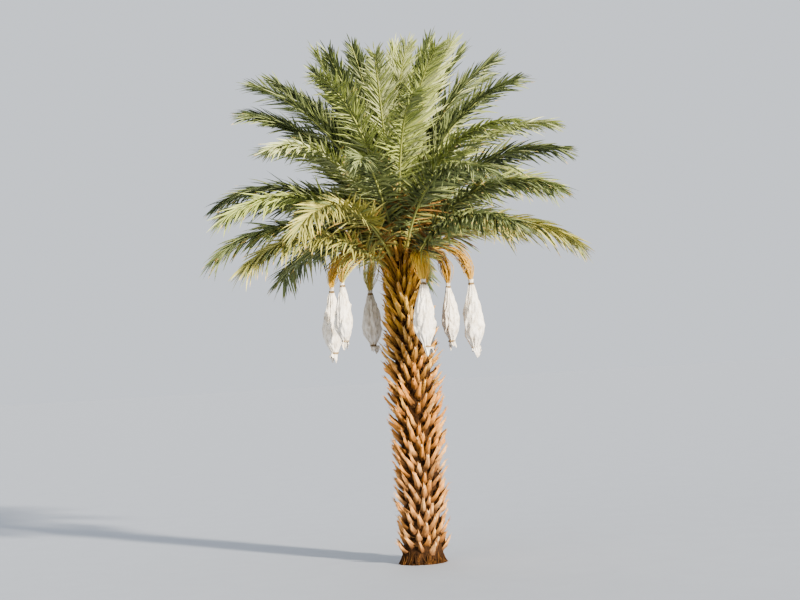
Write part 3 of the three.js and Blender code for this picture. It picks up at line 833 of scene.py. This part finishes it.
def add_bag(piece, ties, bunch):
    """A gathered cloth tube: pleats at both ties, hanging folds between, and sharp creases."""
    leaf = bunch.leaf
    d = np.linspace(0, 1, BAG_ROWS)[:, None]
    a = turns(BAG_COLS)[None, :]
    spots = triple(np.cos(a), np.sin(a), d)
    drift = wandering(spots * (1.1, 1.1, 2.6), leaf + 1).reshape(BAG_ROWS, BAG_COLS)
    dents = wandering(spots * (1.5, 1.5, 6.5), leaf + 20).reshape(BAG_ROWS, BAG_COLS)
    full = np.sin(math.pi * d) ** 0.7
    top_pull = np.exp(-np.abs(d - TIE_AT) / 0.16)
    hem_pull = np.exp(-np.abs(d - HEM_TIE) / 0.07)
    pleats = 0.6 * ridge(11 * a + 2.5 * drift) + 0.4 * ridge(17 * a - 3 * drift)
    twist = 1.5 * vary(leaf, 42) * d
    folds = ridge(4 * a + 4.5 * drift + twist + 3 * vary(leaf, 43))
    creases = ridge(7 * a - 6 * drift - 2 * twist + 9 * d)
    # Folds hang from the upper tie. Lower down the fruit stuffs the cloth into round lumps.
    low = np.clip((d - 0.22) / 0.4, 0, 1)
    lumps = -ridge(3 * a + 4 * drift + 8 * d + 5 * vary(leaf, 44))
    wrinkles = -ridge(26 * d + 2.4 * np.sin(a + 4 * vary(leaf, 45)) + 5 * drift)
    strength = np.clip(0.6 + 0.9 * dents, 0, 1.2)
    hanging = (1 - 0.5 * low) * strength * (0.18 * folds + 0.11 * creases)
    stuffed = low * (0.11 * lumps + 0.06 * strength * wrinkles)
    swell = 0.97 + 0.34 * top_pull * pleats + 0.5 * hem_pull * pleats
    swell = swell + full * (hanging + stuffed - 0.10 * np.abs(dents))
    profile = smooth_outline(np.clip(d[:, 0] + 0.05 * vary(leaf, 46) * full[:, 0], 0, 1))
    radius = np.maximum(bunch.radius * profile[:, None] * swell, 0.012)
    flat = 0.93 + 0.06 * vary(leaf, 24)
    x, y = radius * np.cos(a), radius * np.sin(a) * flat
    sway = 0.022 * np.sin(math.pi * d**1.4) * vary(leaf, 26)
    tail = np.clip((d - HEM_TIE) / (1 - HEM_TIE), 0, 1)
    hem = 0.045 * np.sin(2 * a + 3 * vary(leaf, 27)) + 0.03 * np.sin(3 * a + 5 * vary(leaf, 28))
    fall = -bunch.length * (d + tail * (hem + 0.014 * np.sin(7 * a) - 0.03))
    shell = triple(x + sway + 0.03 * tail, y - 0.6 * sway, fall) @ spin(math.pi * vary(leaf, 25)).T
    inner = shell[-1:-6:-1].copy()
    inner[..., :2] *= 0.94
    collar = shell[:1] * np.array([1.25, 1.25, 1]) + np.array([0, 0, 0.03])
    rings = np.concatenate([collar, shell, inner])
    rows = len(rings)
    points = bunch.to_palm(bunch.neck + rings.reshape(-1, 3))
    length = np.repeat(np.arange(rows) / BAG_ROWS * bunch.length, BAG_COLS)
    around = np.tile(a[0] * bunch.radius, rows)
    piece.add(points, grid_faces(rows, BAG_COLS)[:, ::-1], 0, triple(around, length, 0))
    add_tie(ties, bunch, TIE_AT, 4)
    add_tie(ties, bunch, HEM_TIE, 3)


def add_tie(piece, bunch, at, winds):
    """Twine wound round the bag's neck."""
    steps = 26 * winds
    angle = 2 * math.pi * winds * np.arange(steps + 1) / steps
    radius = float(bunch.radius * smooth_outline(np.array([at]))[0]) * 0.98 + 0.002
    height = -bunch.length * at + 0.0065 * (angle / (2 * math.pi) - winds / 2)
    wobble = 0.0015 * np.sin(3 * angle + at)
    centre = col(radius + wobble) * outward(angle) + col(height) * UP
    points = centre[:, None] + 0.0036 * round_ring(6, outward(angle), UP)
    piece.add(bunch.to_palm(bunch.neck + points.reshape(-1, 3)), grid_faces(steps + 1, 6), 0)


# Trunk

BOOT_ROWS = 12
# A boot's section, in the same shares: half of the hollow side, then half of the rounded back
BOOT_FACE = [(0.50, 0.02), (0.33, -0.12), (0.12, -0.20)]
BOOT_BACK = [(-0.48, -0.14), (-0.41, -0.32), (-0.31, -0.54), (-0.20, -0.76), (-0.07, -0.96)]
BOOT_SECTION = np.array(BOOT_FACE + mirrored(BOOT_FACE) + BOOT_BACK + mirrored(BOOT_BACK))
FOOT_SCALE = 1.42  # a boot's foot clasps the stem further round than the solids' feet do
CUT_SCALE = 0.78  # and its cut is narrower than theirs
BOOT_AGES = (0.36, 0.62, 0.84)  # how far up the trunk the boots turn tan, amber and gold


class Boots:
    """All cut leaf bases at once, from the lowest, by the rule of the solids."""

    def __init__(self):
        numbers = np.append(np.arange(-BOOTS, 0), PRUNED)
        picks = np.array([[vary(i, key) for key in (1, 2, 3, 14, 15)] for i in numbers])
        self.share = 1 + numbers / BOOTS
        z = mix(LOWEST_BOOT, CROWN_FOOT, self.share)
        self.azimuth = FIRST_AZIMUTH + numbers * GOLDEN_TURN + rad(6) * picks[:, 0]
        self.tilt = along(BOOT_TILT, self.share) + rad(7) * picks[:, 1]
        self.length = along(BOOT_LENGTH, self.share) * (0.94 + 0.2 * picks[:, 2])
        self.out = outward(self.azimuth)
        level = sideways(self.azimuth)
        straight = col(np.cos(self.tilt)) * UP + col(np.sin(self.tilt)) * self.out
        self.way = unit(straight + col(0.14 * picks[:, 3]) * level)
        flat = unit(np.cross(self.way, level))
        turn = col(rad(16) * picks[:, 4])
        self.side = np.cos(turn) * unit(np.cross(flat, self.way)) + np.sin(turn) * flat
        self.face = np.cross(self.way, self.side)
        self.root = axis_point(z) + col(along(CORE, z) - BOOT_SUNK) * self.out
        self.root_width = mix(*BOOT_ROOT, np.clip(self.share, 0, 1))


def boot_rings(boots):
    """Rings of points along each boot: a broad clasping foot that thins to a ragged slanting cut."""
    t = np.linspace(0, 1, BOOT_ROWS)
    a, b = BOOT_SECTION[:, 0], BOOT_SECTION[:, 1]
    count = len(boots.share)
    foot = FOOT_SCALE * boots.root_width[:, None]
    width = mix(foot, CUT_SCALE * BOOT_CUT, t**0.62) * uniform(0.78, 1.16, (count, 1))
    width = width * (1 + 0.06 * np.sin(6 * t + 6 * uniform(0, 1, (count, 1))))
    depth = mix(*BOOT_DEPTH, t) * (1 + 0.15 * np.sin(4 * t + 6 * uniform(0, 1, (count, 1))))
    wide = width[:, :, None] * (a + uniform(-0.2, 0.2, (count, 1, 1)) * (0.25 - a**2))
    deep = depth[:, :, None] * b
    wave = uniform(0, 6.3, (count, 1, len(a)))
    rough = 0.5 * np.sin(wave + 3.5 * t[:, None]) + 0.5 * np.sin(2.3 * wave + 8 * t[:, None])
    flutes = uniform(-0.22, 0.1, (count, 1, len(a)))
    grooves = 1 + flutes + 0.1 * rough + 0.08 * either(count, BOOT_ROWS, len(a))
    wide, deep = wide * (0.5 + 0.5 * grooves), deep * grooves
    wrap = -(wide**2) / 0.42 * np.exp(-t / 0.4)[:, None]
    slant = either(count, 1, 1) * wide + uniform(0.6, 2.9, (count, 1, 1)) * deep
    ragged = -0.034 * uniform(0, 1, (count, 1, len(a))) ** 2
    reach = boots.length[:, None, None] * t[:, None] + (slant + ragged) * (t**4)[:, None] - 0.004
    curve = 0.022 * uniform(-0.5, 1, (count, 1)) * np.sin(math.pi * t)
    parts = ((reach, boots.way), (wide, boots.side), (deep - col(curve), boots.face), (wrap, boots.out))
    return boots.root[:, None, None] + sum(col(size) * way[:, None, None] for size, way in parts)


def add_boots(bark):
    boots = Boots()
    rings = boot_rings(boots)
    count, rows, cols = rings.shape[:3]
    chance = uniform(0, 1, count)
    age = boots.share + 0.16 * (chance - 0.5)
    picks = WEATHERED + np.searchsorted(BOOT_AGES, age, side="right")
    # A few have changed colour out of turn.
    picks = np.where(chance > 0.86, np.where(age > 0.6, AMBER, TAN), picks)
    t = np.repeat(np.linspace(0, 1, rows), cols)
    around = np.tile(np.cumsum(np.linalg.norm(np.roll(BOOT_SECTION, -1, 0) - BOOT_SECTION, axis=1)), rows)
    grain = triple(around / around.max() * 0.16, t * boots.length[:, None], (chance * 40)[:, None])
    bark.add(rings.reshape(count, -1, 3), grid_faces(rows, cols), picks, grain)
    # The cut face dishes in a little and has a rough middle.
    rim = rings[:, -1]
    centre = rim.mean(axis=1, keepdims=True)
    inner = mix(rim, centre, 0.45) - 0.006 * uniform(0, 1, (count, cols, 1)) * boots.way[:, None]
    middle = centre - 0.008 * uniform(0, 1, (count, 1, 1)) * boots.way[:, None]
    caps = np.concatenate([rim, inner, middle], axis=1)
    faces = np.vstack([grid_faces(2, cols), fan_faces(cols, cols, 2 * cols)])
    cuts = np.where(boots.share + 0.2 * either(count) > 0.72, FRESH_CUT, OLD_CUT)
    bark.add(caps, faces, cuts)
    add_splinters(bark, boots, rings, picks, grain[:, -1])
    return boots


def add_splinters(bark, boots, rings, picks, tip_grain):
    """Broken fibres that stand on from the rim of each cut."""
    count, _, cols = rings.shape[:3]
    spot = draws.integers(0, cols, (count, SPLINTERS))
    starts = np.take_along_axis(rings[:, -2], spot[..., None], axis=1).reshape(-1, 3)
    ways = np.repeat(boots.way, SPLINTERS, axis=0) + 0.22 * either(len(starts), 3)
    lengths = uniform(0.015, 0.075, len(starts))
    shapes = strands(starts, unit(ways), lengths, SPINE_RADIUS, steps=2)
    grain = np.repeat(tip_grain, SPLINTERS, axis=0)[:, None]
    bark.add(shapes, grid_faces(3, 3), np.repeat(picks, SPLINTERS), grain)


def add_sheaths(bark):
    """Golden blades and splinters of split sheath stand round the oldest living leaves' feet."""
    broad = np.arange(SHEATHS) < BROAD_SHEATHS
    height = np.where(broad, uniform(-0.14, 0.12, SHEATHS), uniform(-0.34, 0.3, SHEATHS))
    azimuth = uniform(0, 2 * math.pi, SHEATHS)
    stem = along(CORE, CROWN_FOOT + height)
    radius = np.where(height < 0, stem, along(HEAD_CORE, height)) - 0.01
    starts = from_crown(col(height) * UP + col(radius) * outward(azimuth))
    ways = col(uniform(0.2, 0.8, SHEATHS)) * outward(azimuth) + UP
    ways = unit(ways + 0.3 * either(SHEATHS, 3))
    bend = 0.25 * either(SHEATHS, 3)
    lengths = uniform(0.1, 0.27, SHEATHS) * np.where(broad, 1.5, 1)
    radii = uniform(0.004, 0.009, SHEATHS) * np.where(broad, 2.2, 1)
    shapes = strands(starts, ways, lengths, radii, bend, sides=4)
    grain = triple(np.tile(np.arange(4) / 40, 5), np.repeat(np.arange(5) / 16, 4), 0.4)
    bark.add(shapes, grid_faces(5, 4), draws.choice([AMBER, GOLD], SHEATHS, p=[0.35, 0.65]), grain)


def add_trunk_core(piece):
    """The stem under the boots, with matted ridges, and the flare at its foot."""
    rows, cols = 240, 84
    z = np.concatenate([np.linspace(0, 0.3, 40), np.linspace(0.31, CROWN_FOOT, rows - 40)])
    angle = turns(cols)
    zz, aa = z[:, None], angle[None, :]
    relief = 0.006 * np.sin(13 * aa + 2.2 * np.sin(9 * zz)) * np.sin(34 * zz + 3 * aa)
    relief = relief + 0.004 * either(rows, cols)
    foot = np.exp(-zz / 0.12)
    lumps = np.sin(7 * aa + 1.9 * np.sin(3 * aa) + 11 * zz) + np.sin(16 * aa - 23 * zz + 2.1 * np.sin(2 * aa))
    relief = relief + foot * 0.009 * lumps
    radius = along(CORE, z)[:, None] - 0.012 + relief
    rings = axis_point(z)[:, None] + col(radius) * outward(angle)
    rings[0, :, 2] = 0.0
    shape = np.vstack([rings.reshape(-1, 3), [[0, 0, 0]]])
    faces = np.vstack([grid_faces(rows, cols), fan_faces(0, cols, rows * cols)[:, ::-1]])
    piece.add(shape, faces, 0)


def add_head(piece):
    """Matted fibre between the living leaves' feet."""
    rows, cols = 60, 72
    height = np.linspace(0, HEAD, rows)
    angle = turns(cols)
    relief = 0.006 * np.sin(9 * angle[None] + 12 * height[:, None])
    relief = relief + 0.005 * either(rows, cols)
    radius = along(HEAD_CORE, height)[:, None] - 0.006 + relief
    rings = height[:, None, None] * UP + col(radius) * outward(angle)
    shape, faces = tipped(rings, HEAD * UP)
    piece.add(from_crown(shape), faces, 0)


def add_fibres(piece, boots):
    """Loose fibre round the boots' feet, thicker towards the crown, and between the fronds."""
    weight = 0.35 + boots.share
    chosen = draws.choice(len(weight), STEM_FIBRES, p=weight / weight.sum())
    total = len(chosen)
    hand = draws.choice([-1.0, 1.0], total)
    up_by = uniform(0.05, 0.45, total)
    starts = boots.root[chosen] + col(up_by * boots.length[chosen]) * boots.way[chosen]
    beside = hand * boots.root_width[chosen] * uniform(0.1, 0.55, total)
    starts = starts + col(beside) * boots.side[chosen]
    ways = col(hand * uniform(0.1, 1, total)) * boots.side[chosen]
    ways = ways + col(uniform(-0.2, 1, total)) * UP
    ways = ways + col(uniform(0.15, 0.7, total)) * boots.out[chosen]
    bend = 0.5 * either(total, 3) - 0.2 * UP
    lengths = uniform(0.04, 0.13, total)
    shapes = strands(starts, unit(ways), lengths, uniform(0.0011, 0.002, total), bend)
    piece.add(shapes, grid_faces(5, 3), draws.choice([1, 2], total, p=[0.6, 0.4]))
    height = uniform(0.0, 0.5, HEAD_FIBRES)
    azimuth = uniform(0, 2 * math.pi, HEAD_FIBRES)
    starts = from_crown(col(height) * UP + col(along(HEAD_CORE, height) - 0.01) * outward(azimuth))
    ways = unit(UP + 0.8 * outward(azimuth) + 0.7 * either(HEAD_FIBRES, 3))
    bend = 0.5 * either(HEAD_FIBRES, 3)
    lengths = uniform(0.07, 0.2, HEAD_FIBRES)
    shapes = strands(starts, ways, lengths, uniform(0.0011, 0.0019, HEAD_FIBRES), bend)
    piece.add(shapes, grid_faces(5, 3), draws.choice([1, 2], HEAD_FIBRES))


def add_roots(piece):
    """Short rope-like roots that hug the flare and end on the ground."""
    count, rows, cols = ROOTS, 8, 5
    azimuth = uniform(0, 2 * math.pi, count)
    top = 0.02 + 0.13 * uniform(0, 1, count) ** 2
    share = np.linspace(0, 1, rows)
    z = top[:, None] * (1 - share)
    swing = azimuth[:, None] + 0.22 * either(count, 1) * share
    radius = along(CORE, z) - 0.006 + uniform(0, 0.03, (count, 1)) * share**2
    thick = uniform(0.0022, 0.0058, (count, 1)) * np.sqrt(np.clip(share * 4 + 0.1, 0, 1))
    centres = axis_point(z) + col(radius) * outward(swing)
    ring = round_ring(cols, sideways(swing), outward(swing))
    shapes = centres[:, :, None] + thick[..., None, None] * ring
    shapes[..., 2] = np.maximum(shapes[..., 2], 0)
    piece.add(shapes.reshape(count, -1, 3), grid_faces(rows, cols), draws.choice([0, 1], count, p=[0.4, 0.6]))


def add_heart_base(piece):
    """The feet of the youngest fronds, rolled round each other into a tapering cone."""
    rows, cols = 40, 48
    height = np.linspace(0, HEART_HEIGHT, rows)
    angle = turns(cols)
    wrap = 0.14 * np.abs(np.sin(2.5 * angle[None] + 15 * height[:, None]))
    radius = mix(*HEART_RADIUS, height / HEART_HEIGHT)[:, None] * (0.94 + wrap)
    rings = (HEAD + height)[:, None, None] * UP + col(radius) * outward(angle)
    shape, faces = tipped(rings, (HEAD + HEART_HEIGHT + 0.03) * UP)
    across = np.append(np.tile(angle / 6.3, rows), 0)
    grain = triple(across, np.append(np.repeat(height, cols), 1), 0)
    piece.add(from_crown(shape), faces, 1, grain)


# The palm's pieces

fronds = [Frond(i) for i in range(FRONDS) if i != PRUNED]
spreading = len(fronds) - IN_HEART
names = [f"frond_{k + 1:02d}" for k in range(spreading)] + ["heart_fronds"]

boots_piece = Piece("trunk_boots", "bark", ["trunk"], bark_materials)
boots = add_boots(boots_piece)
add_sheaths(boots_piece)
boots_piece.make()

# The stem's core, the head and some roots take the darkened trunk fibre, whose darkness is partly painted
# shade.
fibre_piece = Piece("trunk_fibre_and_gap_shade", "bark", ["trunk"], fibre_materials)
add_trunk_core(fibre_piece)
add_head(fibre_piece)
add_fibres(fibre_piece, boots)
add_roots(fibre_piece)
fibre_piece.make()

# The fronds in four groups by age: a label, the first frond, and the one after the last
groups = [("outer", 0, 14), ("middle", 14, 28), ("inner", 28, spreading), ("heart", spreading, None)]
for label, first, last in groups:
    slot = "young_leaf" if label == "heart" else "leaf"
    leaves = Piece(f"leaflets_{label}", slot, names[first:last], leaf_materials, smooth=False)
    ribs = Piece(f"ribs_{label}", slot, names[first:last], rib_materials)
    if label == "heart":
        add_heart_base(ribs)
    for frond in fronds[first:last]:
        add_leaflets(leaves, frond)
        add_rib(ribs, frond)
        if label != "heart":
            add_spines(ribs, frond)
    leaves.make()
    ribs.make()

bunch_names = [f"bunch_stalk_{bunch.number}" for bunch in bunches]
bag_names = [f"fruit_bag_{bunch.number}" for bunch in bunches]
stalks = Piece("fruit_stalks", "stalk", bunch_names, bunch_materials)
bags = Piece("fruit_bags", "bag_cloth", bag_names, [cloth_material])
ties = Piece("bag_ties", "bag_cloth", bag_names, [twine_material])
for bunch in bunches:
    add_stalk(stalks, bunch)
    add_fruit_strands(stalks, bunch)
    add_bag(bags, ties, bunch)
stalks.make()
bags.make()
ties.make()

# Floor, light and camera

FLOOR_HALF = 150
floor_mesh = bpy.data.meshes.new("floor")
corners = [(x * FLOOR_HALF, y * FLOOR_HALF, 0) for x, y in ((-1, -1), (1, -1), (1, 1), (-1, 1))]
floor_mesh.from_pydata(corners, [], [(0, 1, 2, 3)])
floor_finish = Finish("floor", 0x9A9FA7, 0.95, Specular_IOR_Level=0.1)
mottle = floor_finish.noise(floor_finish.place(), 2.2, detail=3)
floor_finish.colour(floor_finish.ramp(mottle, (0.3, 0x999EA6), (0.7, 0x9BA0A8)))
floor_mesh.materials.append(floor_finish.material)
floor = new_object("floor", floor_mesh)


def add_sun(name, azimuth, elevation, energy, softness, colour):
    """A broad, soft light. azimuth is from the camera's side, positive to its right."""
    light = bpy.data.lights.new(name, "SUN")
    light.energy = energy
    light.angle = rad(softness)
    light.color = colour
    lamp = new_object(name, light)
    a, e = rad(azimuth), rad(elevation)
    towards = Vector((math.sin(a) * math.cos(e), -math.cos(a) * math.cos(e), math.sin(e)))
    lamp.rotation_euler = towards.to_track_quat("Z", "Y").to_euler()


add_sun("key_light", 40, 17, 8.6, 3, (1.0, 0.91, 0.78))
add_sun("fill_light", -38, 10, 1.1, 60, (1.0, 0.94, 0.86))
add_sun("back_light", 190, 32, 1.0, 60, (0.94, 0.96, 1.0))

world = bpy.data.worlds.new("studio")
world.use_nodes = True
background = world.node_tree.nodes["Background"]
background.inputs["Color"].default_value = (0.86, 0.90, 0.96, 1)
background.inputs["Strength"].default_value = 0.62
scene.world = world
scene.view_settings.look = "AgX - Medium High Contrast"
scene.view_settings.exposure = 0.4

# The photograph's camera looks up by several degrees and sees the palm off to its right, so that
# upright lines lean to the left there. Turned to face the palm, it keeps that as a tilt.
CAMERA_AT = Vector((0, -20.6, 2.54))
AIM = Vector((-0.09, 0, 3.24))
TILT = rad(-3.5)
camera_data = bpy.data.cameras.new("camera")
camera_data.lens = 75
camera = new_object("camera", camera_data)
camera.location = CAMERA_AT
facing = (AIM - CAMERA_AT).to_track_quat("-Z", "Y")
camera.rotation_euler = (facing.to_matrix() @ Euler((0, 0, TILT)).to_matrix()).to_euler()
bpy.context.scene.camera = camera
